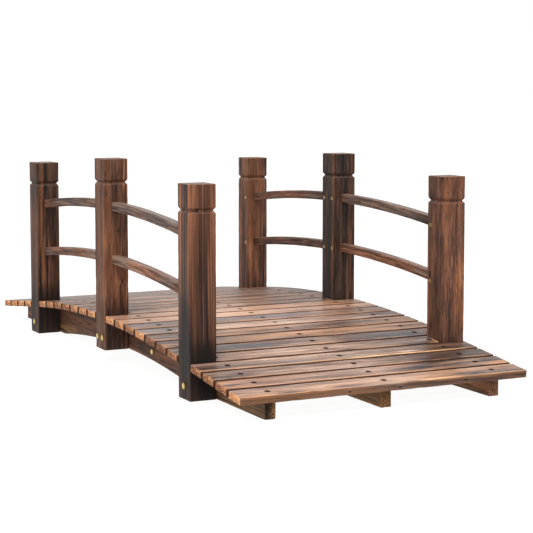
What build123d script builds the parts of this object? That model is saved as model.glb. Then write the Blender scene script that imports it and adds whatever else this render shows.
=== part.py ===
"""Small arched garden footbridge of scorched softwood.

Three arched stringers carry a deck of crosswise slats. Six grooved posts stand against the outer
stringers, and two heights of bowed handrail are mortised between them on each side.

Frame: millimetres, +Z up, origin on the ground under the middle of the bridge. X runs along the
walk, with the front end at +X. The left-hand side, seen from in front, is at -Y.
"""
from build123d import *
from math import asin, cos, degrees, radians, sin, sqrt, tan
import os

# Deck: slats laid across the stringers and spaced along their top line
SLAT_LENGTH = 662.0
SLAT_WIDTH = 54.0
SLAT_THICKNESS = 15.4
SLAT_GAP = 7.0
SLAT_EASE = 2.5
SLATS_EACH_SIDE = 12
END_POST_SLAT = 8

# Stringers: top bowed over the middle and straight down the ramps, underside an arch between feet
STRINGER_THICKNESS = 24.0
STRINGER_CROWN = 97.0
TOP_RADIUS = 3940.0
RAMP_ANGLE = 6.6
UNDER_SPAN = 860.0
UNDER_RISE = 30.5
SLAT_OVERHANG = 14.5
BUTT_GAP = 0.4

# Splice plates behind the butt joint in the middle of each stringer
PLATE_LENGTH = 410.0
PLATE_HEIGHT = 50.0
PLATE_THICKNESS = 18.0
PLATE_BELOW_CROWN = 10.0

# Posts: square, with eased edges and a V-groove round the head
POST_SIDE = 60.0
POST_LENGTH = 444.0
POST_EASE = 2.4
POST_TOP_EASE = 1.8
GROOVE_HEIGHT = 11.8
GROOVE_DEPTH = 4.7
GROOVE_BELOW_TOP = 54.3
POST_CLEARANCE = 0.3

# Handrails: bowed laths let into the posts, at heights below the top of the middle posts
RAIL_HEIGHT = 21.0
RAIL_THICKNESS = 20.0
RAIL_RADIUS = 3850.0
RAIL_EASE = 1.5
RAIL_DROPS = {"upper": 109.7, "lower": 233.0}
MORTISE_DEPTH = 20.0
MORTISE_CLEARANCE = 0.25

SIDES = {"left": -1, "right": 1}
TURN = {"front": 0, "back": 180}


def top_line(along):
    """X, Z and downward slope in degrees on the stringers' top line, along it from the crown."""
    end = 1 if along >= 0 else -1
    bowed = min(abs(along), TOP_RADIUS * radians(RAMP_ANGLE))
    straight = abs(along) - bowed
    slope = bowed / TOP_RADIUS
    x = TOP_RADIUS * sin(slope) + straight * cos(slope)
    z = STRINGER_CROWN - TOP_RADIUS * (1 - cos(slope)) - straight * sin(slope)
    return end * x, z, end * degrees(slope)


def slat_centre(index):
    """Distance along the top line of the middle of a slat, counted from the one at the crown."""
    return index * (SLAT_WIDTH + SLAT_GAP)


def bow_height(radius, crown, x):
    """Height at x of an upward arc of this radius with its crown over the middle of the bridge."""
    return crown - radius + sqrt(radius**2 - x**2)


def upright_face(edges):
    """Outline drawn in X and Z, as a face standing in the plane y = 0."""
    return Plane.XZ * make_face(edges)


# Places that follow from the sizes above
DECK_END = top_line(slat_centre(SLATS_EACH_SIDE) + SLAT_WIDTH / 2)[0]
STRINGER_END = DECK_END - SLAT_OVERHANG
POST_Y = (SLAT_LENGTH - POST_SIDE) / 2
POST_INNER_Y = POST_Y - POST_SIDE / 2
STRINGER_Y = {
    "left": -(POST_INNER_Y - STRINGER_THICKNESS / 2),
    "middle": 0.0,
    "right": POST_INNER_Y - STRINGER_THICKNESS / 2,
}
SLAT_PAST_END_POST = top_line(slat_centre(END_POST_SLAT + 1) - SLAT_WIDTH / 2)[0]
END_POST_X = SLAT_PAST_END_POST - POST_CLEARANCE - POST_SIDE / 2
POST_PLACES = {
    "front": (END_POST_X, 0.0),
    "middle": (0.0, UNDER_RISE),
    "back": (-END_POST_X, 0.0),
}
BAY_START = POST_SIDE / 2 - MORTISE_DEPTH
BAY_END = END_POST_X - POST_SIDE / 2 + MORTISE_DEPTH


def slat(index):
    """Board with eased top edges, flat on the top line, cut short between a pair of posts."""
    beside_posts = abs(index) in (0, END_POST_SLAT)
    length = 2 * (POST_INNER_Y - POST_CLEARANCE) if beside_posts else SLAT_LENGTH
    section = Pos(0, SLAT_THICKNESS / 2) * Rectangle(SLAT_WIDTH, SLAT_THICKNESS)
    top_corners = section.vertices().group_by(Axis.Y)[-1]
    board = extrude(Plane.XZ * fillet(top_corners, SLAT_EASE), length / 2, both=True)
    x, z, slope = top_line(slat_centre(index))
    return Pos(x, 0, z) * Rot(0, slope, 0) * board


def stringer_half(line, end):
    """One half of a stringer, from the butt joint at the crown to its flat foot and square end."""
    under_radius = ((UNDER_SPAN / 2) ** 2 + UNDER_RISE**2) / (2 * UNDER_RISE)
    joint = BUTT_GAP / 2
    ramp_x, ramp_z, _ = top_line(TOP_RADIUS * radians(RAMP_ANGLE))
    end_z = ramp_z - (STRINGER_END - ramp_x) * tan(radians(RAMP_ANGLE))
    foot_x = UNDER_SPAN / 2

    def top(x):
        return x, bow_height(TOP_RADIUS, STRINGER_CROWN, x)

    def under(x):
        return x, bow_height(under_radius, UNDER_RISE, x)

    outline = [
        ThreePointArc(top(joint), top(ramp_x / 2), (ramp_x, ramp_z)),
        Polyline((ramp_x, ramp_z), (STRINGER_END, end_z), (STRINGER_END, 0), (foot_x, 0)),
        ThreePointArc((foot_x, 0), under(foot_x / 2), under(joint)),
        Line(under(joint), top(joint)),
    ]
    half = extrude(upright_face(outline), STRINGER_THICKNESS / 2, both=True)
    return Pos(0, STRINGER_Y[line], 0) * Rot(0, 0, TURN[end]) * half


def splice_plates():
    """A straight plate behind each butt joint, on the stringer's side towards the other posts."""
    plate = Box(PLATE_LENGTH, PLATE_THICKNESS, PLATE_HEIGHT, align=(Align.CENTER, Align.CENTER, Align.MAX))
    offset = (STRINGER_THICKNESS + PLATE_THICKNESS) / 2
    top = STRINGER_CROWN - PLATE_BELOW_CROWN
    rows = [STRINGER_Y["left"] + offset, offset, STRINGER_Y["right"] - offset]
    return Compound([Pos(0, y, top) * plate for y in rows])


def rail_bar(height, end, room=0.0):
    """Bowed lath of one bay with its tenons, at y = 0. With some room it is the mortise's shape."""
    crown = UNDER_RISE + POST_LENGTH - RAIL_DROPS[height]
    bow_axis = Axis((0, 0, crown - RAIL_RADIUS), (0, 1, 0))
    first = degrees(asin((BAY_START - room) / RAIL_RADIUS))
    last = degrees(asin((BAY_END + room) / RAIL_RADIUS))
    section = Rectangle(RAIL_THICKNESS + 2 * room, RAIL_HEIGHT + 2 * room)
    if not room:
        section = chamfer(section.vertices(), RAIL_EASE)
    section = (Plane.YZ * Pos(0, crown) * section).rotate(bow_axis, first)
    bar = revolve(section, axis=bow_axis, revolution_arc=last - first)
    return Rot(0, 0, TURN[end]) * bar


def post(place):
    """Square post with an eased head, a V-groove round it and a mortise for each rail it holds."""
    x, lift = POST_PLACES[place]
    blank = extrude(RectangleRounded(POST_SIDE, POST_SIDE, POST_EASE), POST_LENGTH)
    blank = chamfer(blank.faces().sort_by(Axis.Z)[-1].edges(), POST_TOP_EASE)

    full = Rectangle(POST_SIDE, POST_SIDE)
    waist = Rectangle(POST_SIDE - 2 * GROOVE_DEPTH, POST_SIDE - 2 * GROOVE_DEPTH)
    half = GROOVE_HEIGHT / 2
    neck = loft([Pos(0, 0, -half) * full, waist]) + loft([waist, Pos(0, 0, half) * full])
    groove = Box(2 * POST_SIDE, 2 * POST_SIDE, GROOVE_HEIGHT) - neck
    body = blank - Pos(0, 0, POST_LENGTH - GROOVE_BELOW_TOP) * groove

    body = Pos(x, 0, lift) * body
    for end in TURN:
        if place in (end, "middle"):
            for height in RAIL_DROPS:
                body -= rail_bar(height, end, MORTISE_CLEARANCE)
    return body


def build():
    """Every piece of the bridge in its place, by name."""
    pieces = {}
    for number, index in enumerate(range(SLATS_EACH_SIDE, -SLATS_EACH_SIDE - 1, -1), start=1):
        pieces[f"slat_{number:02d}"] = slat(index)
    for line in STRINGER_Y:
        for end in TURN:
            pieces[f"stringer_{line}_{end}"] = stringer_half(line, end)
    pieces["splice_plates"] = splice_plates()
    for side, sign in SIDES.items():
        for place in POST_PLACES:
            pieces[f"post_{place}_{side}"] = Pos(0, sign * POST_Y, 0) * post(place)
        for height in RAIL_DROPS:
            for end in TURN:
                rail = Pos(0, sign * POST_Y, 0) * rail_bar(height, end)
                pieces[f"rail_{height}_{end}_{side}"] = rail
    return pieces


os.makedirs("parts", exist_ok=True)
for name, shape in build().items():
    export_step(shape, f"parts/{name}.step")
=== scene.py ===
"""Looks of the arched garden footbridge: scorched and brushed softwood, brass and black hardware."""
import itertools
from math import asin, cos, pi, radians, sin, sqrt

import bpy
import numpy as np
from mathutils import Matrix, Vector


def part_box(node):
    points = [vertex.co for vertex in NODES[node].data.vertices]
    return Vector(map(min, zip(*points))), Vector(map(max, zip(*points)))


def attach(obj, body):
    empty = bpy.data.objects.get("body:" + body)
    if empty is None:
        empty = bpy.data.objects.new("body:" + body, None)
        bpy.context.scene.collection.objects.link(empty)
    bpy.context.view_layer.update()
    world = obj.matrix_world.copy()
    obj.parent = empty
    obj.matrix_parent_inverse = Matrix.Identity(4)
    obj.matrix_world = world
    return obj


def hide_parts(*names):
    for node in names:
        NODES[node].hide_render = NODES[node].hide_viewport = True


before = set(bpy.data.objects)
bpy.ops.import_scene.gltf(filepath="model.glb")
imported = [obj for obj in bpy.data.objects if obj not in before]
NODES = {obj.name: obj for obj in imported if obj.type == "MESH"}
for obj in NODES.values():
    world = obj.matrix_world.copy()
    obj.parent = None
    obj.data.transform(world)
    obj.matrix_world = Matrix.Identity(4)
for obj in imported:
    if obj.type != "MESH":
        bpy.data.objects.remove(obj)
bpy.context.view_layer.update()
MM = 0.001

# Metres to the knot or the mark of a piece that has none
FAR = 9.0

# Waviness of the faces and bites out of the edges, with the sizes of their noise in millimetres
SLAT_WEAR = (0.25 * MM, 0.7 * MM)
RAIL_WEAR = (0.2 * MM, 0.5 * MM)
TIMBER_WEAR = (0.3 * MM, 0.6 * MM)
WAVE_CELLS = (70, 24, 24)
BITE_CELLS = (9, 5, 5)
BITTEN_CELLS = (60, 30, 30)
BITE_REACH = 3 * MM
CREASE = 38
METAL_CREASE = 35

# Slats
WORN_RADIUS = 2.2 * MM
LOWER_RADIUS = 0.8 * MM
# Painted highlight, partly rub: the line along each slat's upper edge lies this far in from the edge
HIGHLIGHT_AND_RUB_LINE = 3.08 * MM
SLAT_END_EASE = 1.6 * MM

# Deck: how much darker it is past the crown, and towards its right-hand and left-hand sides; the darkening on
# the right is painted reflection of the dark posts there
REAR_SHADE = 0.23
REAR_FROM = 13
REAR_FADE = 3
RIGHT_SHADE = 0.3
RIGHT_FROM = 40 * MM
LEFT_SHADE = 0.18
LEFT_FROM = 130 * MM

# Posts: the painted shade round their feet starts at FOOT_HIGH above the foot and is full FOOT_FADE below
# that, and FOOT_COOL is the share of warmth that it takes away
GROOVE_BELOW_TOP = 54.3 * MM
GROOVE_HALF = 5.9 * MM
GROOVE_DEPTH = 4.7 * MM
GROOVE_EASE = 0.5 * MM
POST_EDGE = 2.5 * MM
POST_TOP_EDGE = 1.9 * MM
FOOT_HIGH = 130 * MM
FOOT_FADE = 40 * MM
FOOT_COOL = 0.7

# Stringers and the boards behind the posts
STRINGER_THICKNESS = 24 * MM
STRINGER_EDGE = 2 * MM
STRINGER_EASE = 1.2 * MM
NOMINAL_HALF = 20 * MM
PLATE_THICKNESS = 18 * MM
PLATE_EDGE = 1.6 * MM

# Rails
RAIL_RADIUS = 3.850
RAIL_SECTION = (20 * MM, 21 * MM)
RAIL_EDGE = 1.7 * MM
RAIL_EASE = 1 * MM

# Hardware: sizes
DECK_SCREW_HEAD = 5.6 * MM
SCREW_SINK = 0.2 * MM
DIMPLE_DEPTH = 0.4 * MM
DIMPLE_REACH = 6.6 * MM
RAIL_SCREW_HEAD = 4.4 * MM
BOLT_HEAD = 8.2 * MM
BOLT_RISE = 3.4 * MM
BOLT_FLANGE = 0.9 * MM
NUT_ACROSS = 7 * MM
ROUND_STEPS = 32

# Hardware: places from the middle of the bridge or of a post, and heights above the ground or a foot
DECK_SCREW_ROWS = (-260 * MM, 0.0, 260 * MM)
CROWN_BOLT_X = 15.4 * MM
CROWN_BOLT_Z = 59.3 * MM
CROWN_BOLT_RISE = 28.8 * MM
END_BOLT_RISE = 29 * MM
PLATE_BOLT_X = 172 * MM
PLATE_BOLT_Z = 46.6 * MM
MIDDLE_SCREW_X = 19.8 * MM
MIDDLE_SCREWS_Z = (364 * MM, 240.6 * MM)
END_SCREW_X = 17.8 * MM
END_SCREWS_Z = (335 * MM, 211 * MM)

# Studio: heights of the surroundings as the rise of a sight line, 0 level and 1 straight up
WALL_TOP = 0.15
CEILING_START = 0.5
CEILING_LIGHT = 0.55
FLOOR_HALF = 40.0
FLOOR_SHADE = 0.08
FLOOR_GLOW = 0.95
KEY_BEARING = -42
KEY_HEIGHT = 62
KEY_WIDTH = 50
KEY_STRENGTH = 4.6

# Camera
CAMERA_PLACE = (3.38287, -1.57778, 0.64182)
CAMERA_YAW = 26.39
CAMERA_DIP = 5.455
CAMERA_LENS = 105.10
CAMERA_SHIFT = -0.06095


# ---- numbers

HASH_AXES = (73856093, 19349663, 83492791)
HASH_SEED = 26544357
HASH_STIR = 73244475
SEED_STEP = 3.17
SMOKE_FROM = 0.2
SMOKE_SPAN = 0.6


def lattice(cell, seed):
    """Repeatable value from 0 to 1 of each cell of whole numbers."""
    h = np.bitwise_xor.reduce(cell * HASH_AXES, axis=-1) ^ seed * HASH_SEED
    h = h & 0xFFFFFFFF
    for shift in (15, 13):
        h = ((h ^ h >> shift) * HASH_STIR) & 0xFFFFFFFF
    return ((h ^ h >> 16) & 0xFFFFFF) / 0xFFFFFF


def noise(points, seed):
    """Smooth noise from 0 to 1 whose cells are one unit wide."""
    base = np.floor(points).astype(np.int64)
    part = points - base
    part = part * part * (3 - 2 * part)
    total = 0.0
    for corner in itertools.product((0, 1), repeat=3):
        weight = np.prod(np.where(corner, part, 1 - part), axis=-1)
        total = total + weight * lattice(base + corner, seed)
    return total


def smoke(local, cell, seed):
    """Smoky patches over a piece, from -0.5 to 0.5, of about the cell's size in millimetres."""
    share = fade(noise(local / cell / MM + seed * SEED_STEP, seed), SMOKE_FROM, SMOKE_SPAN)
    return share * share * (3 - 2 * share) - 0.5


def spots(local, look, key):
    """Sum of a look's soft spots, each a centre, its half sizes, in millimetres, and its strength."""
    total = np.zeros(local.shape[:-1])
    for centre, reach, strength in look.get(key, ()):
        away = (((local - np.array(centre) * MM) / (np.array(reach) * MM)) ** 2).sum(-1)
        total += strength * np.exp(-away)
    return total


def fade(value, start, width):
    """0 up to the start, 1 from a width past it, and a straight line between."""
    return np.clip((value - start) / width, 0, 1)


# ---- the CAD model

def names(prefix):
    return sorted(n for n in NODES if n.startswith(prefix))


def cad_points(node):
    """Vertices of a CAD node as an array."""
    points = np.zeros(len(NODES[node].data.vertices) * 3, np.float32)
    NODES[node].data.vertices.foreach_get("co", points)
    return points.reshape(-1, 3).astype(float)


def top_direction(node):
    """Unit normal of a CAD node's upper side."""
    total = np.zeros(3)
    for face in NODES[node].data.polygons:
        if face.normal.z > 0.9:
            total += np.array(face.normal) * face.area
    return total / np.linalg.norm(total)


# ---- meshes

# A rounded end in shares of its radius: how far the outline is drawn in, and how far back it lies
END_ROUNDING = ((0.0, 1.0), (0.13, 0.5), (0.5, 0.13), (1.0, 0.0))
END_FILL = 2.5 * MM
TOUCH = 1e-9


def half_outline(half_w, half_h, radius, rises, spans, corner_steps):
    """Upper half of a rounded rectangle, from its left side over the top to its right."""
    left = [(-half_w, (i + 0.5) * (half_h - radius) / rises) for i in range(rises)]
    for i in range(corner_steps + 1):
        turn = pi / 2 * i / corner_steps
        left.append((-half_w + radius * (1 - cos(turn)), half_h - radius * (1 - sin(turn))))
    top = [((i / spans - 0.5) * 2 * (half_w - radius), half_h) for i in range(1, spans)]
    return left + top + [(-s, t) for s, t in reversed(left)]


def outline(half_w, half_h, radius, step, corner_steps=3, rises=None, lower_radius=None):
    """Rounded rectangle, over the top and back below; point k lies above or below point n-1-k."""
    rises = rises or max(2, round((half_h - radius) / step))
    spans = max(2, round(2 * (half_w - radius) / step))
    upper, lower = (half_outline(half_w, half_h, r, rises, spans, corner_steps)
                    for r in (radius, lower_radius or radius))
    return np.array(upper + [(s, -t) for s, t in reversed(lower)])


def loft(rings):
    """Faces of the closed surface through rings of equal length, each end filled across its ring."""
    m, n = rings.shape[:2]
    i = np.arange(m - 1)[:, None] * n
    j = np.arange(n)[None, :]
    k = (j + 1) % n
    sides = np.stack([i + j, i + k, i + k + n, i + j + n], -1).reshape(-1, 4)
    a = np.arange(n // 2 - 1)
    first = np.stack([a, n - 1 - a, n - 2 - a, a + 1], -1)
    last = np.stack([a, a + 1, n - 2 - a, n - 1 - a], -1) + (m - 1) * n
    return np.concatenate([sides, first, last])


def stations(last, step, dense=(), dense_half=0.0, dense_step=0.0):
    """Distances along a piece from its middle, up to the last, closer around the dense places."""
    marks = list(np.arange(-last, last, step)) + [last]
    for place in dense:
        marks = [m for m in marks if abs(m - place) > dense_half]
        marks += list(np.arange(place - dense_half, place + dense_half + TOUCH, dense_step))
    return sorted(m for m in marks if abs(m) <= last + TOUCH)


def board(section, half, ease, *steps):
    """Rings of a straight board with rounded ends: points (rings, points, 3) as along, across and up."""
    size = np.abs(section).max(axis=0)
    end = [(half - ease * back, ease * drop) for drop, back in END_ROUNDING]
    end.append((half, ease + END_FILL))
    start = [(-along, inset) for along, inset in reversed(end)]
    made = []
    for along, inset in start + [(m, 0.0) for m in stations(half - ease, *steps)[1:-1]] + end:
        shrunk = section * (size - inset) / size
        made.append(np.column_stack([np.full(len(section), along), shrunk]))
    return np.array(made)


def edge_distance(local, half, upper=False):
    """Distance of surface points from the nearest edge, or upper edge, of a box of these half sizes."""
    gaps = np.maximum(half - np.abs(local), 0)
    if upper:
        gaps[..., 2] = half[2] - local[..., 2]
    return np.sort(gaps, axis=-1)[..., 1]


def soften(local, half, seed, wear):
    """Moves surface points inward: a slow waviness over the faces and small bites out of the edges."""
    wave, chip = wear
    slow = noise(local / WAVE_CELLS / MM, seed)
    bite = noise(local / BITE_CELLS / MM, seed + 1)
    bite = bite * noise(local / BITTEN_CELLS / MM, seed + 2)
    near = np.exp(-(edge_distance(local, half) / BITE_REACH) ** 2)
    depth = wave * slow + chip * near * np.clip(bite * 3.2 - 1.1, 0, 1)
    inward = -local / half
    inward = np.sign(inward) * np.abs(inward) ** 9
    return local + depth[..., None] * inward


def outward(points, faces):
    """The faces of a closed mesh, turned round if they look into it."""
    a, b, c, d = (points[faces[:, k]] for k in range(4))
    volume = (a * (np.cross(b, c) + np.cross(c, d))).sum()
    return faces if volume > 0 else faces[:, ::-1]


def add_mesh(name, points, faces, material, values, crease):
    """Smooth mesh object of a piece, with the values that its material reads."""
    mesh = bpy.data.meshes.new(name)
    mesh.from_pydata(points.tolist(), [], faces)
    mesh.shade_smooth()
    mesh.set_sharp_from_angle(angle=radians(crease))
    for key, value in values.items():
        kind, entry = ("FLOAT_VECTOR", "vector") if value.ndim > 1 else ("FLOAT", "value")
        field = mesh.attributes.new(key, kind, "POINT")
        field.data.foreach_set(entry, value.astype(np.float32).ravel())
    mesh.materials.append(material)
    piece = bpy.data.objects.new(name, mesh)
    bpy.context.scene.collection.objects.link(piece)
    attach(piece, "root")
    return piece


def add_timber(node, points, faces, slot, values):
    """Timber piece that stands for a CAD node, in the wood of its slot."""
    points = points.reshape(-1, 3)
    name = ("deck_" if slot == "deck_wood" else "wood_") + node
    piece = add_mesh(name, points, outward(points, faces).tolist(), WOODS[slot], values, CREASE)
    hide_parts(node)


# ---- shader nodes

class Shader:
    """Node tree of a material or a world, with short calls for its nodes."""

    def __init__(self, owner):
        owner.use_nodes = True
        self.owner = owner
        self.nodes = owner.node_tree.nodes
        self.links = owner.node_tree.links
        self.surface = self.nodes.get("Principled BSDF") or self.nodes["Background"]

    def put(self, socket, value):
        """Links a socket to a node's output, or sets it to a constant."""
        if isinstance(value, bpy.types.NodeSocket):
            self.links.new(value, socket)
        else:
            socket.default_value = value

    def fill(self, node, **inputs):
        """Puts values on a node's inputs, by their names with _ for a space."""
        for key, value in inputs.items():
            self.put(node.inputs[key.replace("_", " ")], value)
        return node

    def add(self, kind, *inputs, **settings):
        node = self.nodes.new(kind)
        for key, value in settings.items():
            setattr(node, key, value)
        for socket, value in zip(node.inputs, inputs):
            if value is not None:
                self.put(socket, value)
        return node

    def field(self, name, kind="Fac"):
        return self.add("ShaderNodeAttribute", attribute_name=name).outputs[kind]

    def math(self, operation, a, b=0.0, c=0.0):
        return self.add("ShaderNodeMath", a, b, c, operation=operation).outputs[0]

    def times(self, a, b, plus=0.0):
        return self.math("MULTIPLY_ADD", a, b, plus)

    def total(self, first, *others):
        for other in others:
            first = self.math("ADD", first, other)
        return first

    def vector(self, operation, a, b=(0, 0, 0)):
        node = self.add("ShaderNodeVectorMath", a, b, operation=operation)
        return node.outputs["Value" if operation == "LENGTH" else "Vector"]

    def part(self, vector, axis):
        return self.add("ShaderNodeSeparateXYZ", vector).outputs[axis]

    def noise(self, vector, detail=2.0, roughness=0.5, scale=1.0):
        node = self.add("ShaderNodeTexNoise")
        return self.fill(node, Vector=vector, Scale=scale, Detail=detail, Roughness=roughness)

    def stretched(self, vector, cells, detail=2.0, roughness=0.5):
        """Value of a noise with this many cells to the metre along each axis."""
        return self.noise(self.vector("MULTIPLY", vector, cells), detail, roughness).outputs[0]

    def centred(self, value, gain):
        """A noise value times a gain about its middle of one half, moved to 0."""
        return self.times(value, gain, -gain / 2)

    def bell(self, value, width):
        """1 where the value is 0, falling smoothly to 0 past the width."""
        square = self.math("POWER", self.math("DIVIDE", value, width), 2.0)
        return self.math("EXPONENT", self.times(square, -1.0))

    def ramp(self, share, stops):
        """Colours between the stops, each a place and an sRGB shade."""
        node = self.add("ShaderNodeValToRGB", share)
        elements = node.color_ramp.elements
        while len(elements) < len(stops):
            elements.new(0.5)
        for element, (place, shade) in zip(elements, stops):
            element.position = place
            element.color = colour(*shade)
        return node.outputs[0]

    def band(self, value, low, high, start=0.0, end=1.0):
        """Smooth step of a value between low and high."""
        node = self.add("ShaderNodeMapRange", value, low, high, start, end, interpolation_type="SMOOTHSTEP")
        return node.outputs[0]

    def mix(self, share, a, b):
        node = self.add("ShaderNodeMix", data_type="RGBA")
        for key, value in ((0, share), (6, a), (7, b)):
            self.put(node.inputs[key], value)
        return node.outputs[2]

    def bump(self, height, strength, distance):
        node = self.add("ShaderNodeBump")
        return self.fill(node, Strength=strength, Distance=distance, Height=height).outputs[0]


def colour(*shade):
    """Linear colour with alpha from sRGB values of 0 to 255."""
    share = np.array(shade) / 255
    linear = np.where(share <= 0.04045, share / 12.92, ((share + 0.055) / 1.055) ** 2.4)
    return (*linear, 1.0)


# ---- wood

# Cells of the wood's noises to the metre, along the log and across it
SLOW_CELLS = (4, 20, 20)
QUICK_CELLS = (20, 110, 110)
BAND_CELLS = (2.5, 42, 42)
FINE_CELLS = (14, 420, 420)
FIBRE_CELLS = (30, 1400, 1400)
ZONE_CELLS = (3, 30, 30)
SPECK_CELLS = (60, 330, 330)
CRACK_CELLS = (6, 190, 190)
RING_CELLS = 70.0

# How far the grain and the dark marks wander across the log, and how the knots bend the grain
SLOW_SWAY = 8 * MM
QUICK_SWAY = 1.2 * MM
MARK_SWAY = 7 * MM
RING_WANDER = 4.0
KNOT_STRETCH = 0.45
KNOT_BEND = 0.9

SOOT_SHARE = 0.85
SAWN_RIM = 2.2 * MM
CRACK_SHARE = 0.85
KNOT_RING = 0.8
COAT_ROUGHNESS = 0.42
BUMP_STRENGTH = 0.9
BUMP_DISTANCE = 0.5 * MM


class Wood(Shader):
    """Scorched and brushed softwood, in the coordinates of the log that a piece was sawn from."""

    def __init__(self, name, palette, gloss, coat):
        super().__init__(bpy.data.materials.new(name))
        self.palette = palette
        self.log = self.field("log", "Vector")
        self.end = self.field("end")
        self.deep = self.field("deep")
        self.bend_grain()
        self.grow_rings()
        self.lay_streaks()
        look = self.scorched(self.bare_shade())
        look = self.rubbed_lit_and_sawn(look)
        self.fill(self.surface, Base_Color=self.knotted_and_cracked(look))
        self.set_gloss(gloss, coat)
        self.set_relief()

    def tint(self, share, look, key):
        """The look with a share of one of the palette's plain colours over it."""
        return self.mix(share, look, colour(*self.palette[key]))

    def wander(self, cells, sway):
        """A noise's drift across the log, and the same noise about 0."""
        drift = self.noise(self.vector("MULTIPLY", self.log, cells)).outputs["Color"]
        drift = self.vector("SUBTRACT", drift, (0.5, 0.5, 0.5))
        return self.vector("MULTIPLY", drift, (0, sway, sway)), drift

    def bend_grain(self):
        """The grain wanders slowly and quickly along the log, and bends round the knot."""
        knot = self.field("knot", "Vector")
        self.reach = self.vector("LENGTH", self.vector("MULTIPLY", knot, (KNOT_STRETCH, 1, 1)))
        near_knot = self.bell(self.reach, self.palette["knot_reach"])
        slow, self.drift = self.wander(SLOW_CELLS, SLOW_SWAY)
        quick, _ = self.wander(QUICK_CELLS, QUICK_SWAY)
        push = self.vector("MULTIPLY", knot, self.times(near_knot, KNOT_BEND))
        bent = self.vector("ADD", self.log, slow)
        bent = self.vector("ADD", bent, quick)
        self.bent = self.vector("ADD", bent, push)

    def grow_rings(self):
        """Year rings: pale early wood that turns dark and stops sharply, each year of its own shade."""
        radius = self.vector("LENGTH", self.vector("MULTIPLY", self.bent, (0, 1, 1)))
        wander = self.add("ShaderNodeTexNoise", noise_dimensions="1D")
        self.fill(wander, W=self.times(radius, RING_CELLS))
        turns = self.total(self.math("DIVIDE", radius, self.palette["ring"]),
                           self.times(wander.outputs[0], RING_WANDER))
        phase = self.math("FRACT", turns)
        darkening = self.band(phase, self.palette["late_from"], 0.88)
        self.late = self.times(darkening, self.band(phase, 1.0, 0.94))
        year = self.add("ShaderNodeTexWhiteNoise", noise_dimensions="1D")
        self.fill(year, W=self.math("FLOOR", turns))
        self.year = year.outputs["Value"]

    def lay_streaks(self):
        """Fibres, and streaks of three widths along the grain."""
        self.fibres = self.stretched(self.bent, FIBRE_CELLS, 2, 0.6)
        self.fine = self.stretched(self.bent, FINE_CELLS, 3, 0.65)
        self.streaks = self.stretched(self.bent, self.palette["streaks"], 3, 0.65)
        self.bands = self.stretched(self.bent, BAND_CELLS, 3, 0.6)

    def bare_shade(self):
        """Where the wood lies between the darkest and the palest colour of its palette."""
        fine, streaks, bands, years = self.palette["contrast"]
        shade = self.total(self.centred(self.band(self.fine, 0.36, 0.64), fine),
                           self.centred(self.band(self.streaks, 0.38, 0.62), streaks),
                           self.centred(self.bands, bands), self.centred(self.year, years))
        shade = self.times(shade, self.field("gain"), 0.5)
        zones = self.stretched(self.bent, ZONE_CELLS, 1)
        depth = self.palette["late_depth"]
        lines = self.times(self.late, self.band(zones, 0.38, 0.62, 0.3 * depth, depth))
        return self.total(self.math("SUBTRACT", shade, lines), self.field("tone"))

    def scorched(self, shade):
        """Soot in streaks, where its field and the grain together pass a level, with glow and sap."""
        ragged = self.palette["soot_ragged"]
        soot = self.total(self.field("char"), self.centred(self.streaks, ragged),
                          self.centred(self.bands, 0.6 * ragged), self.centred(self.fine, 0.5 * ragged))
        sooty = self.times(self.band(soot, 0.44, 0.66), SOOT_SHARE)
        look = self.mix(sooty, self.ramp(shade, self.palette["body"]), self.ramp(shade, self.palette["soot"]))
        glow = self.times(self.field("warm"), self.band(self.bands, 0.42, 0.62))
        look = self.tint(glow, look, "warm")
        sap = self.times(self.field("sap"), self.band(self.streaks, 0.36, 0.56))
        look = self.tint(sap, look, "sap")
        sway = self.times(self.part(self.drift, 1), MARK_SWAY)
        mark = self.bell(self.total(self.field("mark"), sway), self.palette["mark"])
        return self.tint(self.times(mark, self.band(self.fine, 0.25, 0.5)), look, "crack")

    def rubbed_lit_and_sawn(self, look):
        """Rubbed edges, which on the slats also carry a painted highlight, sawn ends that are dark within a
        pale rim, and dark places, with painted shade in the gaps.
        """
        edge = self.field("edge")
        worn = self.stretched(self.log, self.palette["rub_patch"], 3, 0.6)
        # Rubbed edges; on the slats this is a painted highlight along the front arris, partly wear
        rubbed_and_lit = self.times(self.bell(edge, self.palette["rub"]), self.band(worn, 0.4, 0.6))
        look = self.tint(self.times(rubbed_and_lit, self.palette["rub_share"]), look, "edge")
        pale = self.times(self.bell(edge, SAWN_RIM), 0.3, self.field("sawn"))
        pale = self.times(self.late, -0.3, pale)
        speck = self.centred(self.stretched(self.log, SPECK_CELLS, 3, 0.7), 2.4)
        look = self.mix(self.end, look, self.ramp(self.total(speck, pale), self.palette["cut"]))
        # The darkest places: painted shade in the gaps between slats, partly char, and dark wood round the
        # screws and on the deck's two long end faces
        return self.tint(self.deep, look, "deep")

    def knotted_and_cracked(self, look):
        """The knot with its dark ring, and fine drying cracks."""
        size = self.palette["knot_size"]
        self.core = self.band(self.reach, size, 0.7 * size)
        ring = self.times(self.band(self.reach, 1.35 * size, size),
                         self.band(self.reach, 0.6 * size, 0.9 * size))
        look = self.tint(self.core, look, "knot")
        look = self.tint(self.times(ring, KNOT_RING), look, "crack")
        split = self.math("ABSOLUTE", self.centred(self.stretched(self.bent, CRACK_CELLS, 1, 0.4), 1.0))
        self.crack = self.times(self.band(split, 0.022, 0.0), self.band(self.bands, 0.50, 0.60))
        return self.tint(self.times(self.crack, CRACK_SHARE), look, "crack")

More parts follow.
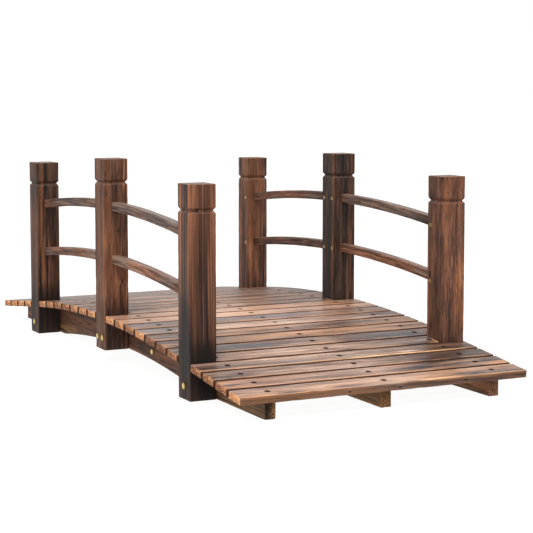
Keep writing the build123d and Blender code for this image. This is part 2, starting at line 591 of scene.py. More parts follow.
    def set_gloss(self, gloss, coat):
        """Roughness from the grain, and the polish that hands and feet have left on what faces up."""
        rough = self.times(self.late, -0.05, gloss - 0.08)
        rough = self.times(self.end, 0.25, rough)
        rough = self.times(self.fibres, 0.16, rough)
        facing = self.part(self.add("ShaderNodeNewGeometry").outputs["True Normal"], 2)
        polish = self.times(self.math("SUBTRACT", 1.0, self.deep),
                           self.band(facing, 0.4, 0.9, 0.0, coat))
        self.fill(self.surface, Roughness=self.times(self.deep, 0.4, rough), Coat_Weight=polish,
                   Coat_Roughness=COAT_ROUGHNESS, Specular_IOR_Level=self.palette["shine"])

    def set_relief(self):
        """Late wood, streaks and fibres stand up, and cracks are cut in."""
        height = self.times(self.fine, 0.8)
        for level, share in ((self.fibres, 0.3), (self.late, 0.7), (self.streaks, 0.8), (self.crack, -1.6),
                             (self.core, 0.6)):
            height = self.times(level, share, height)
        relief = self.bump(height, BUMP_STRENGTH, BUMP_DISTANCE)
        self.fill(self.surface, Normal=relief, Coat_Normal=relief)


DECK_COLOURS = dict(
    body=[(0.0, (42, 28, 22)), (0.25, (92, 69, 59)), (0.5, (147, 118, 104)), (0.75, (183, 154, 137)),
          (1.0, (224, 198, 178))],
    # Soot on the deck is a pale blue-grey: soot, partly painted sheen
    soot=[(0.0, (36, 36, 40)), (0.35, (80, 78, 82)), (0.7, (118, 114, 116)), (1.0, (158, 150, 146))],
    cut=[(0.0, (36, 24, 20)), (0.35, (116, 68, 42)), (0.65, (204, 134, 82)), (1.0, (244, 192, 138))],
    streaks=(9, 150, 150), contrast=(0.22, 0.28, 1.0, 0.12),
    # The darkest colour on the next line is for painted shade in the gaps between slats, partly char, and for
    # dark wood
    soot_ragged=1.0, warm=(196, 136, 90), sap=(240, 192, 136), deep=(50, 22, 9), edge=(226, 160, 106),
    # The edge colour above and the rub below paint a highlight along the slats' front arrises, partly wear
    rub=1.9 * MM, rub_share=0.75, rub_patch=(9, 20, 20),
    ring=4.2 * MM, late_from=0.45, late_depth=0.25,
    knot=(52, 34, 26), knot_size=5 * MM, knot_reach=13 * MM,
    crack=(34, 24, 20), mark=1.5 * MM, shine=0.3)
POST_COLOURS = dict(
    body=[(0.0, (20, 14, 12)), (0.22, (42, 28, 23)), (0.44, (72, 46, 36)), (0.64, (98, 63, 48)),
          (0.84, (128, 84, 63)), (1.0, (166, 115, 84))],
    soot=[(0.0, (20, 16, 14)), (0.35, (40, 29, 24)), (0.7, (66, 49, 40)), (1.0, (104, 78, 62))],
    cut=[(0.0, (46, 36, 30)), (0.4, (100, 76, 60)), (0.7, (136, 106, 84)), (1.0, (170, 138, 110))],
    streaks=(7, 190, 190), contrast=(0.42, 0.42, 0.8, 0.14),
    soot_ragged=1.5, warm=(158, 98, 58), sap=(134, 102, 58), deep=(22, 16, 13), edge=(134, 88, 58),
    rub=1.4 * MM, rub_share=0.35, rub_patch=(30, 90, 90),
    ring=5.2 * MM, late_from=0.6, late_depth=0.4,
    knot=(24, 18, 15), knot_size=4.5 * MM, knot_reach=12 * MM,
    crack=(14, 11, 10), mark=1.8 * MM, shine=0.2)
RAIL_SOOT = [(0.0, (24, 20, 19)), (0.35, (50, 42, 39)), (0.7, (84, 71, 64)), (1.0, (128, 110, 98))]
STRINGER_CUT = [(0.0, (34, 26, 19)), (0.4, (80, 57, 37)), (0.7, (126, 88, 52)), (1.0, (172, 128, 78))]
RAIL_COLOURS = dict(POST_COLOURS, edge=(146, 106, 80), soot=RAIL_SOOT)
STRINGER_COLOURS = dict(POST_COLOURS, edge=(120, 84, 56), cut=STRINGER_CUT)


# ---- metal

STAIN_CELLS = 900.0
SCRATCH_CELLS = 2600.0
STAINED = 0.55
DARK_RIM_REFLECTION = 0.12


def metal(name, shade, rough, scratch, metallic=1.0):
    """Turned and plated metal with stains and fine scratches, and a painted dark reflection round its rim."""
    s = Shader(bpy.data.materials.new(name))
    place = s.add("ShaderNodeTexCoord").outputs["Object"]
    stain = s.noise(place, 4, 0.6, STAIN_CELLS).outputs[0]
    clean = colour(*shade)
    dull, dark_rim_reflection = ((*(c * share for c in clean[:3]), 1.0) for share in (STAINED, DARK_RIM_REFLECTION))
    look = s.mix(s.band(stain, 0.35, 0.7), clean, dull)
    marks = s.noise(place, 3, 0.5, SCRATCH_CELLS).outputs[0]
    # painted reflection: each head darkens towards its rim
    s.fill(s.surface, Base_Color=s.mix(s.band(s.field("rim"), 0.6, 0.95), look, dark_rim_reflection), Metallic=metallic,
           Specular_IOR_Level=0.25 * metallic, Roughness=s.times(stain, 0.25, rough),
           Normal=s.bump(marks, scratch, 0.1 * MM))
    return s.owner


# Palette, roughness and polish of the wood of each slot
WOOD_LOOKS = {"deck_wood": (DECK_COLOURS, 0.5, 0.65), "post_wood": (POST_COLOURS, 0.6, 0.8),
              "rail_wood": (RAIL_COLOURS, 0.6, 0.9), "stringer_wood": (STRINGER_COLOURS, 0.65, 0.0)}
WOODS = {slot: Wood(slot, *look).owner for slot, look in WOOD_LOOKS.items()}
BRASS = metal("brass", (234, 204, 124), 0.14, 0.3)
BLACK = metal("black_steel", (10, 11, 14), 0.6, 0.4, 0.0)


# ---- values that the wood reads

LOG_STEP = 7.3
CUT_DEPTH = 1 * MM
PLAIN = dict(char=0.0, tone=0.0, warm=0.0, sawn=0.4, mark=FAR, gain=1.0, sap=0.0, deep=0.0)


def grain(place, pith, seed, knots, run):
    """Log coordinates of the points, and the way to each from its nearest knot, as a share of its size."""
    log = (place - (0.0, *pith)) * run + (LOG_STEP * seed, 0, 0)
    ways = np.stack([(place - k[:3]) / k[3] for k in [*knots, (FAR, FAR, FAR, 1.0)]])
    nearest = np.argmin((ways ** 2).sum(-1), axis=0)
    return log, np.take_along_axis(ways, nearest[None, ..., None], axis=0)[0]


def values_of(local, half, pith, seed, place=None, knots=(), run=(1, 1, 1), **fields):
    """Everything that the wood reads at each point; its grain follows the place where that is given."""
    log, way = grain(local if place is None else place, pith, seed, knots, run)
    cut = 1 - fade(half[..., 0] - np.abs(local[..., 0]), 0, CUT_DEPTH)
    values = {"log": log, "knot": way, "edge": edge_distance(local, half), "end": cut}
    for key, value in {**PLAIN, **fields}.items():
        values[key] = value * np.ones(local.shape[:-1])
    return {k: v.reshape(-1, 3) if v.ndim == 3 else v.ravel() for k, v in values.items()}


# ---- slats

def whole(x, reach, strength):
    """Soft spot through the whole slat, x millimetres along it."""
    return (x, 0, 7), (reach, 60, 60), strength


def upper(x, reach, strength):
    """Soft spot on the slat's upper face, x millimetres along it."""
    return (x, 0, 7), (reach, 40, 9), strength


# The darker tone spots at the right-hand ends of slats 3, 4 and 8 to 10 are painted reflection of the dark
# posts beside them
SLAT_LOOKS = {
    1: dict(lift=0.18, scuffs=[((-218, 20, 8), (32, 5, 5), 1.0), ((-91, 15, 8), (30, 5, 5), 0.8),
                              ((182, 8, 8), (20, 5, 5), 0.7), ((215, 12, 8), (14, 5, 5), 0.9)],
        sap=[((90, 22, 8), (70, 6, 4), 0.8)],
        knots=[(0.18, 0.027, 0.0, 0.45), (0.024, 0.027, -0.002, 0.35), (-0.092, 0.027, -0.001, 0.3)]),
    2: dict(lift=0.16, scuffs=[((125, 2, 7), (26, 7, 9), 0.8), ((288, -6, 7), (14, 7, 9), 1.0)],
        char=[whole(250, 60, -0.35)], tone=[((60, -8, 7), (160, 30, 9), 0.12)]),
    3: dict(lift=0.1, char=[whole(-40, 260, -0.35), whole(260, 80, -0.5)],
        tone=[whole(250, 130, -0.4), whole(0, 110, 0.08)]),
    4: dict(lift=0.08, warm=0.3, sap=[((90, 25, 7), (160, 5, 9), 1.3)], knots=[(0.16, 0.0, 0.007, 0.5)],
        char=[((150, -8, 7), (60, 10, 9), 0.6), ((168, 10, 7), (26, 5, 9), -1.2), whole(280, 70, -0.5)],
        tone=[((168, 10, 7), (24, 4, 9), 0.6), whole(270, 100, -0.42), whole(0, 110, 0.08),
              whole(-300, 90, -0.1)]),
    5: dict(lift=0.08, char=[((-200, 0, 7), (60, 12, 9), 0.5)]),
    6: dict(lift=0.08, char=[upper(-230, 130, 0.7), upper(250, 70, 0.5)]),
    7: dict(lift=0.06, char=[upper(130, 90, 0.8), upper(-260, 80, 0.7)]),
    8: dict(char=[upper(280, 80, 0.8), upper(-280, 60, 0.7)], tone=[whole(290, 70, -0.15)]),
    9: dict(lift=0.06, char=[upper(-290, 60, 0.8), upper(290, 70, 0.5)], tone=[whole(290, 70, -0.15)]),
    10: dict(lift=0.08, char=[upper(80, 280, 0.6)], tone=[whole(290, 70, -0.15)]),
    11: dict(lift=0.18, warm=1.6),
    12: dict(lift=0.14, char=[upper(180, 120, 0.5)]),
    13: dict(lift=0.16, warm=1.6),
    14: dict(lift=0.1, char=[upper(-280, 80, 0.8)]),
    15: dict(char=[upper(-120, 160, 0.8)]),
    17: dict(char=[upper(60, 260, 0.6)]),
    19: dict(char=[upper(0, 300, 0.6)]),
}

# How pale the sawn ends of the slats are, where they don't follow chance
SAWN_ENDS = {6: 0.45, 7: 0.3, 8: 0.35, 9: 0.65, 10: 0.4, 11: 0.55, 12: 0.65, 14: 0.65, 15: 0.6, 16: 0.6,
             17: 0.4, 18: 0.45, 19: 0.5, 20: 0.55, 22: 0.6, 23: 0.65, 24: 0.6, 25: 0.6}

# Scuffs, soot round the screws, dark wood round each screw, painted shade in the gaps, the painted highlight
# and rub line, and the two long faces that show at the ends of the deck
SCUFF_SOOT = 2.4
SCUFF_SHADE = 0.45
SCREW_SOOT = 0.7
SCREW_SOOT_REACH = 6.5 * MM
SCREW_SOOT_STRETCH = 1.8
SCREW_PRESS = 6.4 * MM
FACE_SOOT = -0.5
FACE_WARM = 0.8
FACE_DEEP = 0.74
DEEPEST = 0.92
REAR_HIGHLIGHT_AND_RUB_SHIFT = 2.6 * MM


def slat_box(name):
    """A slat's axes as rows, along, across and up, with its centre and its half sizes."""
    along = np.array([0.0, 1.0, 0.0])
    up = top_direction(name)
    axes = np.array([along, np.cross(along, up), up])
    spread = cad_points(name) @ axes.T
    low, high = spread.min(axis=0), spread.max(axis=0)
    return axes, (low + high) / 2 @ axes, (high - low) / 2


def screw_dimples(local, rows):
    """Presses the upper points round each screw down, as its head has done."""
    pressed = local.copy()
    for row in rows:
        away = np.hypot(local[..., 0] - row, local[..., 1])
        depth = DIMPLE_DEPTH * np.exp(-(away / DIMPLE_REACH) ** 6)
        pressed[..., 2] -= np.where(local[..., 2] > 0, depth, 0.0)
    return pressed


def slat_values(local, half, rows, number, rng):
    """What the wood reads on a slat: its own look, its screws, painted shade in the gaps beside it, a painted
    highlight along its upper edge, and its place, whose right-hand side carries painted reflection of the
    posts.
    """
    look = SLAT_LOOKS.get(number, {})
    x, y, z = np.moveaxis(local, -1, 0)
    open_side = {1: 1, len(names("slat_")): -1}.get(number, 0)
    outside = y * open_side > 0
    past = np.abs(y) - half[1]
    face = fade(past, -1.2 * MM, 1 * MM) * outside
    # painted shade, partly char: the slat's long sides darken below its upper face, where they face the gaps
    deep = fade(past, -2.4 * MM, 0.8 * MM) * fade(half[2] - z, 0.06 * MM, 0.6 * MM) * ~outside
    scuffs = spots(local, look, "scuffs")

    char = rng.uniform(-0.08, 0.4) + 0.8 * smoke(local, (170, 34, 60), number)
    char = char + spots(local, look, "char") + SCUFF_SOOT * scuffs
    for row in rows:
        away = np.hypot((x - row) / SCREW_SOOT_STRETCH, y)
        char = char + SCREW_SOOT * np.exp(-(away / SCREW_SOOT_REACH) ** 2)
        # dark wood round each screw head, on the upper face
        deep = np.maximum(deep, fade(-np.hypot(x - row, y), -SCREW_PRESS, 1 * MM) * (z > 0))

    tone = rng.uniform(-0.19, 0.15) + look.get("lift", 0.0) + spots(local, look, "tone")
    tone = tone - SCUFF_SHADE * scuffs - REAR_SHADE * fade(number, REAR_FROM, REAR_FADE)
    # painted reflection: the deck darkens towards its right-hand side, where the dark posts reflect in it
    tone = tone - RIGHT_SHADE * np.sqrt(fade(x, RIGHT_FROM, half[0] - RIGHT_FROM))
    tone = tone - LEFT_SHADE * fade(-x, LEFT_FROM, half[0] - LEFT_FROM)
    warm = look.get("warm", 1.0) * rng.uniform(0.0, 0.7) * (1 - 0.8 * np.clip(scuffs, 0, 1))
    pith = (rng.uniform(-0.05, 0.05), -rng.uniform(0.02, 0.09))
    sawn = SAWN_ENDS.get(number, rng.uniform(0.15, 0.75))

    values = values_of(local, half, pith, number, knots=look.get("knots", ()), tone=tone, sawn=sawn,
                       char=char * (1 - 0.7 * face) + FACE_SOOT * face, gain=1 - 0.5 * face,
                       warm=(1 - face) * warm + FACE_WARM * face, sap=spots(local, look, "sap"),
                       deep=DEEPEST * np.maximum(deep, FACE_DEEP * face))
    # painted highlight, partly rub: a line just in from the slat's upper edges, weaker on its rear side
    rub = np.abs(edge_distance(local, half, upper=True) - HIGHLIGHT_AND_RUB_LINE)
    values["edge"] = (rub + REAR_HIGHLIGHT_AND_RUB_SHIFT * (y < 0)).ravel()
    return values


def make_slat(name, rng):
    """One slat with worn upper edges and pressed screw places; gives back the places of its screws."""
    axes, centre, half = slat_box(name)
    section = outline(half[1], half[2], WORN_RADIUS, 2.4 * MM, lower_radius=LOWER_RADIUS)
    rows = [r for r in DECK_SCREW_ROWS if abs(r) < half[0]]
    local = board(section, half[0], SLAT_END_EASE, 6 * MM, rows, 9 * MM, 1.8 * MM)
    number = int(name[-2:])
    values = slat_values(local, half, rows, number, rng)
    shaped = screw_dimples(soften(local, half, number, SLAT_WEAR), rows)
    add_timber(name, shaped @ axes + centre, loft(local), "deck_wood", values)
    along, _, up = axes
    return [(centre + along * r + up * (half[2] - SCREW_SINK), up) for r in rows]


# ---- posts

POST_LOOKS = {
    "post_back_left": dict(
        pith=(0.012, 0.045), char=0.3, tone=-0.1, warm=0.2, marks=[(2, -5)],
        left_tone=-0.02, foot=0.85, glow=[((-20, 30, -16), (220, 20, 5), 0.6)],
        soot=[((200, 0, 0), (110, 60, 60), 0.5), ((-20, 30, 25), (200, 20, 9), 0.5)]),
    "post_middle_left": dict(
        pith=(0.05, 0.01), char=0.15, tone=0.01, warm=0.25, foot=0.22,
        shades=[((-90, 30, 10), (110, 8, 25), -0.1)],
        knots=[(0.055, 0.03, 0.004, 0.35), (-0.062, 0.03, 0.014, 0.35)]),
    "post_front_left": dict(
        pith=(-0.005, 0.09), char=-0.1, tone=-0.07, warm=0.25, foot=0.55,
        marks=[(2, 16), (1, -6)], left_tone=-0.06, run=(0.3, 1, 1), gain=1.15, smoke=0.4,
        soot=[((-110, 0, -30), (120, 60, 8), 1.2), ((140, 0, -30), (130, 60, 8), -0.5)],
        glow=[((-100, 0, -30), (130, 60, 8), -0.25), ((-150, 30, 10), (70, 8, 40), -0.2)],
        shades=[((-170, 30, 8), (100, 8, 30), -0.2), ((-120, 0, -30), (130, 60, 8), -0.28),
                ((140, 0, -30), (120, 60, 8), 0.28), ((10, 0, -30), (70, 60, 8), 0.12)]),
    "post_back_right": dict(
        pith=(0.04, -0.02), char=0.1, tone=-0.02, warm=0.3,
        shades=[((8, 30, 27), (14, 9, 4), -0.8)], knots=[(0.0, 0.0, -0.03, 0.5)]),
    "post_middle_right": dict(
        pith=(-0.01, -0.08), char=0.95, tone=-0.21, warm=0.05, gain=1.3,
        soot=[((0, 30, 22), (300, 20, 7), -0.6), ((0, 24, -30), (300, 3, 9), -0.7)],
        glow=[((0, 30, 22), (300, 20, 6), 0.5), ((0, 24, -30), (300, 3, 9), 0.8)]),
    "post_front_right": dict(
        pith=(0.05, 0.03), char=-0.22, tone=0.15, warm=0.35, gain=0.75,
        smoke=0.2, run=(2.2, 1.5, 1.5), left_tone=-0.1,
        knots=[(0.003, -0.018, -0.03, 0.8), (-0.003, 0.03, 0.029, 0.7)],
        shades=[((216, 30, -29), (9, 9, 2), -0.9), ((214, 30, -18), (8, 9, 2), -0.9),
                ((-130, 30, 10), (70, 60, 40), -0.2), ((205, 0, 0), (25, 60, 60), -0.1)]),
}


def groove_depth(z, top):
    """How far the V-groove, with its eased lips, cuts into the post at height z."""
    away = abs(z - (top - GROOVE_BELOW_TOP))
    if away >= GROOVE_HALF + GROOVE_EASE:
        return 0.0
    straight = GROOVE_DEPTH * (1 - away / GROOVE_HALF)
    lip = GROOVE_DEPTH * (GROOVE_HALF + GROOVE_EASE - away) ** 2 / (4 * GROOVE_EASE * GROOVE_HALF)
    return lip if away > GROOVE_HALF - GROOVE_EASE else straight


def post_values(local, half, look, seed):
    """What the wood reads on a post: its own look, with another shade on its left side and painted shade
    round its foot.
    """
    left = fade(-local[..., 2], half[2] - 4 * MM, 2 * MM)
    # painted shade round the foot, less on the left side
    foot = fade(-local[..., 0], half[0] - FOOT_HIGH, FOOT_FADE) * (1 - 0.6 * left)
    char = look["char"] + look.get("smoke", 0.6) * smoke(local, (160, 40, 40), seed)
    char = char + spots(local, look, "soot")
    tone = look["tone"] + look.get("left_tone", 0.0) * left + spots(local, look, "shades")
    marks = [np.abs(local[..., axis] - place * MM) for axis, place in look.get("marks", ())]
    warm = np.clip(look["warm"] + spots(local, look, "glow"), 0, 1) * (1 - FOOT_COOL * foot)
    return values_of(local, half, look["pith"], seed, knots=look.get("knots", ()),
                     run=look.get("run", (1, 1, 1)), char=char, tone=tone - look.get("foot", 0.0) * foot,
                     warm=warm, mark=np.min([*marks, np.full(local.shape[:-1], FAR)], axis=0),
                     gain=look.get("gain", 1.0))


def make_post(name, look, seed):
    """One square post with eased edges, a V-groove below its head and a rounded top."""
    lo, hi = (np.array(corner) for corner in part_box(name))
    half = ((hi - lo) / 2)[[2, 0, 1]]
    section = outline(half[1], half[2], POST_EDGE, 3.2 * MM, 4)
    groove = half[0] - GROOVE_BELOW_TOP
    local = board(section, half[0], POST_TOP_EDGE, 5 * MM, [groove], GROOVE_HALF + GROOVE_EASE, 0.675 * MM)
    cut = np.array([groove_depth(z, half[0]) for z in local[:, 0, 0]])
    local[..., 1:] *= (1 - cut / half[1])[:, None, None]
    values = post_values(local, half, look, seed)
    world = soften(local, half, seed, TIMBER_WEAR)[..., [1, 2, 0]] + (lo + hi) / 2
    add_timber(name, world, loft(local), "post_wood", values)


# ---- rails

# Soot, tone and warmth
RAIL_LOOKS = {
    "rail_upper_front_left": (0.8, 0.24, 0.0),
    "rail_lower_front_left": (0.45, 0.3, 0.1),
    "rail_upper_back_left": (0.55, 0.06, 0.2),
    "rail_lower_back_left": (0.45, 0.06, 0.2),
    "rail_upper_front_right": (0.75, 0.07, 0.1),
    "rail_lower_front_right": (0.2, 0.24, 0.25),
    "rail_upper_back_right": (0.3, -0.02, 0.3),
    "rail_lower_back_right": (0.3, -0.02, 0.2),
}


def make_rail(name, rng):
    """One bowed rail bar between two posts."""
    lo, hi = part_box(name)
    side = 1 if lo.x > 0 else -1
    near, far = sorted((abs(lo.x), abs(hi.x)))
    depth, height = RAIL_SECTION
    axis_z = hi.z - sqrt((RAIL_RADIUS + height / 2) ** 2 - near ** 2)
    start, stop = asin(near / RAIL_RADIUS), asin(far / RAIL_RADIUS)
    half = np.array([(stop - start) * RAIL_RADIUS, depth, height]) / 2
    local = board(outline(half[1], half[2], RAIL_EDGE, 3 * MM), half[0], RAIL_EASE, 5 * MM)
    seed = 60 + sum(map(ord, name)) % 30
    char, tone, warm = RAIL_LOOKS[name]
    char = char + 0.6 * smoke(local, (90, 30, 30), seed)
    pith = (rng.uniform(-0.03, 0.03), -0.03)
    values = values_of(local, half, pith, seed, char=char, tone=tone, warm=warm)
    shaped = soften(local, half, seed, RAIL_WEAR)
    turn = (start + stop) / 2 + shaped[..., 0] / RAIL_RADIUS
    reach = RAIL_RADIUS + shaped[..., 2]
    world = np.stack([side * reach * np.sin(turn), (lo.y + hi.y) / 2 + side * shaped[..., 1],
                      axis_z + reach * np.cos(turn)], -1)
    add_timber(name, world, loft(local), "rail_wood", values)


# ---- stringers

STRINGER_LOOKS = {
    "stringer_left_back": dict(
        seed=3, tone=0.02, warm=0.3,
        sap=[((60, 0, 12), (90, 60, 14), 1.0)], soot=[((-40, 0, 62), (140, 60, 22), 0.8)]),
    "stringer_left_front": dict(
        seed=4, tone=0.02, warm=0.4,
        sap=[((260, 0, 20), (110, 60, 40), 0.75)], soot=[((-260, 0, 60), (70, 60, 22), 1.1)],
        sawn=[((370, -9, 25), (30, 8, 60), -0.55), ((370, 8, 40), (30, 7, 40), 0.35)]),
    "stringer_middle_front": dict(
        seed=5, char=0.1, tone=0.02, warm=0.3,
        sap=[((300, 0, 20), (120, 60, 40), 0.7)],
        sawn=[((370, 2, 20), (30, 12, 30), 0.25), ((370, 0, 60), (30, 30, 14), -0.4)]),
    "stringer_right_front": dict(
        seed=6, pith=(0.02, 0.09), char=0.1, tone=0.1, warm=0.6, end_share=0.3,
        sap=[((250, 0, 20), (90, 60, 40), 0.5)]),
}
STRINGER_LOOK = dict(seed=7, pith=(0.03, 0.09), char=0.15, tone=0.05, warm=0.5)


def edge_line(points):
    """Height over x of one long edge, from the CAD points that lie on it."""
    order = np.argsort(points[:, 0])
    return points[order, 0], points[order, 2]


def make_stringer(name):
    """One half of a stringer: a plank with a bowed upper edge, a level foot and an arched underside."""
    look = {**STRINGER_LOOK, **STRINGER_LOOKS.get(name, {})}
    lo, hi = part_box(name)
    side = 1 if hi.x > abs(lo.x) else -1
    points = cad_points(name) * (side, 1, 1)
    start, stop = points[:, 0].min(), points[:, 0].max()
    crown = points[points[:, 0] < start + 1 * MM, 2].min()
    lower = edge_line(points[points[:, 2] < crown + 1 * MM])
    upper_edge = edge_line(points[points[:, 2] > crown + 1 * MM])

    # A straight plank of the nominal height is stretched between its corners to lie between the two edges.
    half_thick, half_length = (hi.y - lo.y) / 2, (stop - start) / 2
    nominal = outline(half_thick, NOMINAL_HALF, STRINGER_EDGE, 4 * MM, rises=7)
    local = board(nominal, half_length, STRINGER_EASE, 6 * MM)
    x, z = local[..., 0] + (start + stop) / 2, local[..., 2]
    low, top = np.interp(x, *lower), np.interp(x, *upper_edge)
    middle, high = (top + low) / 2, (top - low) / 2
    flat = NOMINAL_HALF - STRINGER_EDGE
    moved = z + (high - NOMINAL_HALF) * np.sign(z)
    local[..., 2] = np.where(np.abs(z) < flat, z * (high - STRINGER_EDGE) / flat, moved)

    half = np.stack([np.full(x.shape, half_length), np.full(x.shape, half_thick), high], -1)
    place = local + np.stack([0 * x, 0 * x, middle], -1)
    seed = 90 + look["seed"]
    char = look["char"] + 0.6 * smoke(local, (190, 30, 30), seed) + spots(place, look, "soot")
    sawn = PLAIN["sawn"] + spots(place, look, "sawn")
    values = values_of(local, half, look["pith"], seed, place, char=char, tone=look["tone"],
                       warm=look["warm"], sawn=sawn, sap=spots(place, look, "sap"))
    values["end"] = values["end"] * look.get("end_share", 1.0)
    shaped = soften(local, half, seed, TIMBER_WEAR)
    world = np.stack([side * (shaped[..., 0] + (start + stop) / 2),
                      (lo.y + hi.y) / 2 + side * shaped[..., 1], middle + shaped[..., 2]], -1)
    add_timber(name, world, loft(local), "stringer_wood", values)


def make_plates(rng):
    """The three boards that join the halves of the stringers behind the middle posts."""
    lo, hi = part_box("splice_plates")
    sides = np.unique(np.round(cad_points("splice_plates")[:, 1], 4))
    points, faces, gathered = [], [], []
    for index, (near, far) in enumerate(zip(sides[::2], sides[1::2])):
        low, high = np.array([lo.x, near, lo.z]), np.array([hi.x, far, hi.z])
        half = (high - low) / 2
        local = board(outline(half[1], half[2], PLATE_EDGE, 5 * MM), half[0], STRINGER_EASE, 8 * MM)
        seed = 120 + index
        pith = (rng.uniform(-0.05, 0.05), -0.06)
        gathered.append(values_of(local, half, pith, seed, char=0.4, tone=-0.2, warm=0.2))
        faces.append(loft(local) + sum(map(len, points)))
        points.append((soften(local, half, seed, TIMBER_WEAR) + (low + high) / 2).reshape(-1, 3))
    values = {k: np.concatenate([g[k] for g in gathered]) for k in gathered[0]}
    add_timber("splice_plates", np.concatenate(points), np.concatenate(faces), "stringer_wood", values)


# ---- hardware

def turned(profile, steps):
    """Rings about +Z of (radius, height) pairs; a third number draws a ring in to a cross this wide."""
    turns = np.linspace(0, 2 * pi, steps, endpoint=False)
    bend = np.maximum(np.abs(np.sin(turns * 2) / 2), 1e-6)
    rings = []
    for radius, height, *width in profile:
        reach = np.minimum(radius, width[0] / bend) if width else np.full(steps, radius)
        rings.append(np.column_stack([reach * np.cos(turns), reach * np.sin(turns), np.full(steps, height)]))
    return rings


def lathe_faces(count, steps):
    """Faces of a closed surface through this many rings of this many points."""
    rings = [[r * steps + k % steps for k in range(steps + 1)] for r in range(count)]
    sides = [(a[k], a[k + 1], b[k + 1], b[k]) for a, b in zip(rings, rings[1:]) for k in range(steps)]
    return sides + [rings[0][-2::-1], rings[-1][:-1]]


def frame_of(direction, roll):
    """Rows of a rotation that turns +Z to the direction, which isn't along X."""
    z = np.array(direction, float) / np.linalg.norm(direction)
    x = np.cross((1.0, 0.0, 0.0), z)
    x /= np.linalg.norm(x)
    y = np.cross(z, x)
    c, s = cos(roll), sin(roll)
    return np.array([c * x + s * y, -s * x + c * y, z])


def add_hardware(name, rings, places, material, rng):
    """One joined mesh of like fasteners: each place is a point and the direction its head faces."""
    shape = np.concatenate(rings)
    faces = lathe_faces(len(rings), len(rings[0]))
    points, joined = [], []
    for point, direction in places:
        turn = frame_of(direction, rng.uniform(0, pi))
        joined += [tuple(v + len(points) * len(shape) for v in f) for f in faces]
        points.append(shape @ turn + np.array(point))
    # the share of the way out to the rim, which the metal reads for its painted dark reflection
    rim = np.hypot(shape[:, 0], shape[:, 1])
    values = {"rim": np.tile(rim / rim.max(), len(places))}
    add_mesh(name, np.concatenate(points), joined, material, values, METAL_CREASE)


def cross_screw(head, rise, depth):
    """Rings of a screw head with a cross recess, its upper face at height 0."""
    arm = head * 0.62
    width = head * 0.13
    return turned([(head * 0.45, -1.8 * depth), (head, -0.25 * rise - 0.1 * MM), (head * 0.93, 0.0),
                   (arm * 1.04, 0.12 * rise, width * 1.5), (arm, 0.0, width * 1.25),
                   (arm * 0.8, -depth, width * 0.9), (head * 0.06, -depth * 1.2)], ROUND_STEPS)


def dome(radius, rise):
    """Rings of a domed bolt head on a thin flange, its seat at height 0."""
    profile = [(radius * 0.5, -1 * MM), (radius, -0.4 * MM), (radius, 0.5 * MM), (radius * 0.93, BOLT_FLANGE)]
    for turn in np.linspace(0.12, 1.45, 7):
        profile.append((radius * 0.9 * cos(turn), BOLT_FLANGE + (rise - BOLT_FLANGE) * sin(turn)))
    return turned(profile, ROUND_STEPS)


def nut(across):
    """Rings of a hexagonal nut on a washer, its seat at height 0."""
    shares = ((0.95, 0), (0.95, 1.4), (0.58, 1.4), (0.58, 6), (0.5, 7), (0.3, 7))
    return turned([(across * share, height * MM) for share, height in shares], 6)


def make_bolts():
    """Brass domes on outer faces with nuts behind them, and the screws that hold the rails."""
    rng = np.random.default_rng(5)
    domes, nuts, screws = [], [], []

    def bolt(x, z, out, seat, back):
        domes.append(((x, seat, z), (0, out, 0)))
        nuts.append(((x, back, z), (0, -out, 0)))

    for name in names("post_"):
        lo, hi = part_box(name)
        out = -1 if "left" in name else 1
        outer, inner = (lo.y, hi.y) if out < 0 else (hi.y, lo.y)
        middle = (lo.x + hi.x) / 2
        if "middle" in name:
            holes = [(middle + x, CROWN_BOLT_RISE) for x in (-CROWN_BOLT_X, CROWN_BOLT_X)]
            seats = [(middle + x, z) for z in MIDDLE_SCREWS_Z for x in (-MIDDLE_SCREW_X, MIDDLE_SCREW_X)]
            depth = STRINGER_THICKNESS + PLATE_THICKNESS
        else:
            toward = -1 if middle > 0 else 1
            holes = [(middle, END_BOLT_RISE)]
            seats = [(middle + toward * END_SCREW_X, z) for z in END_SCREWS_Z]
            depth = STRINGER_THICKNESS
        for x, rise in holes:
            bolt(x, lo.z + rise, out, outer, inner - out * depth)
        screws += [((x, inner, z), (0, -out, 0)) for x, z in seats]

    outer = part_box("stringer_right_front")[1].y
    inner = outer - STRINGER_THICKNESS - PLATE_THICKNESS
    for out in (-1, 1):
        for x in (-PLATE_BOLT_X, PLATE_BOLT_X):
            bolt(x, PLATE_BOLT_Z, out, out * outer, out * inner)
    crown, plate = (CROWN_BOLT_X, CROWN_BOLT_Z), (PLATE_BOLT_X, PLATE_BOLT_Z)
    for end, (x, z) in ((-1, plate), (-1, crown), (1, crown), (1, plate)):
        bolt(end * x, z, -1, -STRINGER_THICKNESS / 2, STRINGER_THICKNESS / 2 + PLATE_THICKNESS)
    rail_screw = cross_screw(RAIL_SCREW_HEAD, 0.6 * MM, 1.2 * MM)
    add_hardware("bolt_domes", dome(BOLT_HEAD, BOLT_RISE), domes, BRASS, rng)
    add_hardware("bolt_nuts", nut(NUT_ACROSS), nuts, BRASS, rng)
    add_hardware("rail_screws", rail_screw, screws, BRASS, rng)


def make_bridge():
    """All the timber, and the screws of the deck."""
    rng = np.random.default_rng(11)
    screws = []
    for name in names("slat_"):
        screws += make_slat(name, rng)
    deck_screw = cross_screw(DECK_SCREW_HEAD, 0.4 * MM, 1.4 * MM)
    add_hardware("deck_screws", deck_screw, screws, BLACK, rng)
    for seed, (name, look) in enumerate(POST_LOOKS.items(), start=41):
        make_post(name, look, seed)
    for name in names("rail_"):
        make_rail(name, rng)
    for name in names("stringer_"):
        make_stringer(name)
    make_plates(rng)


# ---- studio

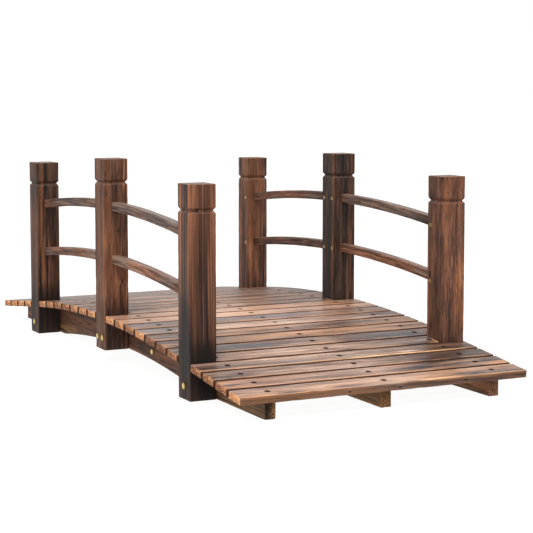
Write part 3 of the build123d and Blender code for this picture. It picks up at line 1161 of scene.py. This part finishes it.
def make_floor():
    """A floor far wider than the view, which glows so that it comes out white."""
    corners = [(x * FLOOR_HALF, y * FLOOR_HALF, 0) for x, y in ((-1, -1), (1, -1), (1, 1), (-1, 1))]
    mesh = bpy.data.meshes.new("floor")
    mesh.from_pydata(corners, [], [(0, 1, 2, 3)])
    s = Shader(bpy.data.materials.new("floor"))
    s.fill(s.surface, Base_Color=(*[FLOOR_SHADE] * 3, 1.0), Emission_Color=(1.0, 1.0, 1.0, 1.0),
           Emission_Strength=FLOOR_GLOW, Roughness=0.9, Specular_IOR_Level=0.0)
    mesh.materials.append(s.owner)
    floor = bpy.data.objects.new("floor", mesh)
    bpy.context.scene.collection.objects.link(floor)


def aim(thing, bearing, dip):
    """Turns a lamp or a camera to look along a bearing about +Z, in degrees, and down by the dip."""
    bearing, dip = radians(bearing), radians(dip)
    way = (cos(bearing) * cos(dip), sin(bearing) * cos(dip), -sin(dip))
    thing.rotation_euler = Vector(way).to_track_quat("-Z", "Y").to_euler()
    bpy.context.scene.collection.objects.link(thing)


def make_key():
    """A broad soft lamp so far off that it lights everything alike."""
    light = bpy.data.lights.new("key", "SUN")
    light.angle = radians(KEY_WIDTH)
    light.energy = KEY_STRENGTH
    aim(bpy.data.objects.new("key", light), KEY_BEARING + 180, KEY_HEIGHT)


def make_world():
    """White surroundings near the horizon that fall to a greyer ceiling."""
    s = Shader(bpy.data.worlds.new("studio"))
    rise = s.part(s.add("ShaderNodeTexCoord").outputs["Generated"], 2)
    light = s.band(rise, WALL_TOP, CEILING_START, 1.0, CEILING_LIGHT)
    s.fill(s.surface, Color=(1, 1, 1, 1), Strength=light)
    bpy.context.scene.world = s.owner


def make_camera():
    """The camera that sees the bridge as it was photographed."""
    data = bpy.data.cameras.new("camera")
    data.lens = CAMERA_LENS
    data.shift_y = CAMERA_SHIFT
    camera = bpy.data.objects.new("camera", data)
    camera.location = CAMERA_PLACE
    aim(camera, 180 - CAMERA_YAW, CAMERA_DIP)
    bpy.context.scene.camera = camera


make_bridge()
make_bolts()
make_world()
make_floor()
make_key()
bpy.context.scene.view_settings.view_transform = "Standard"
make_camera()
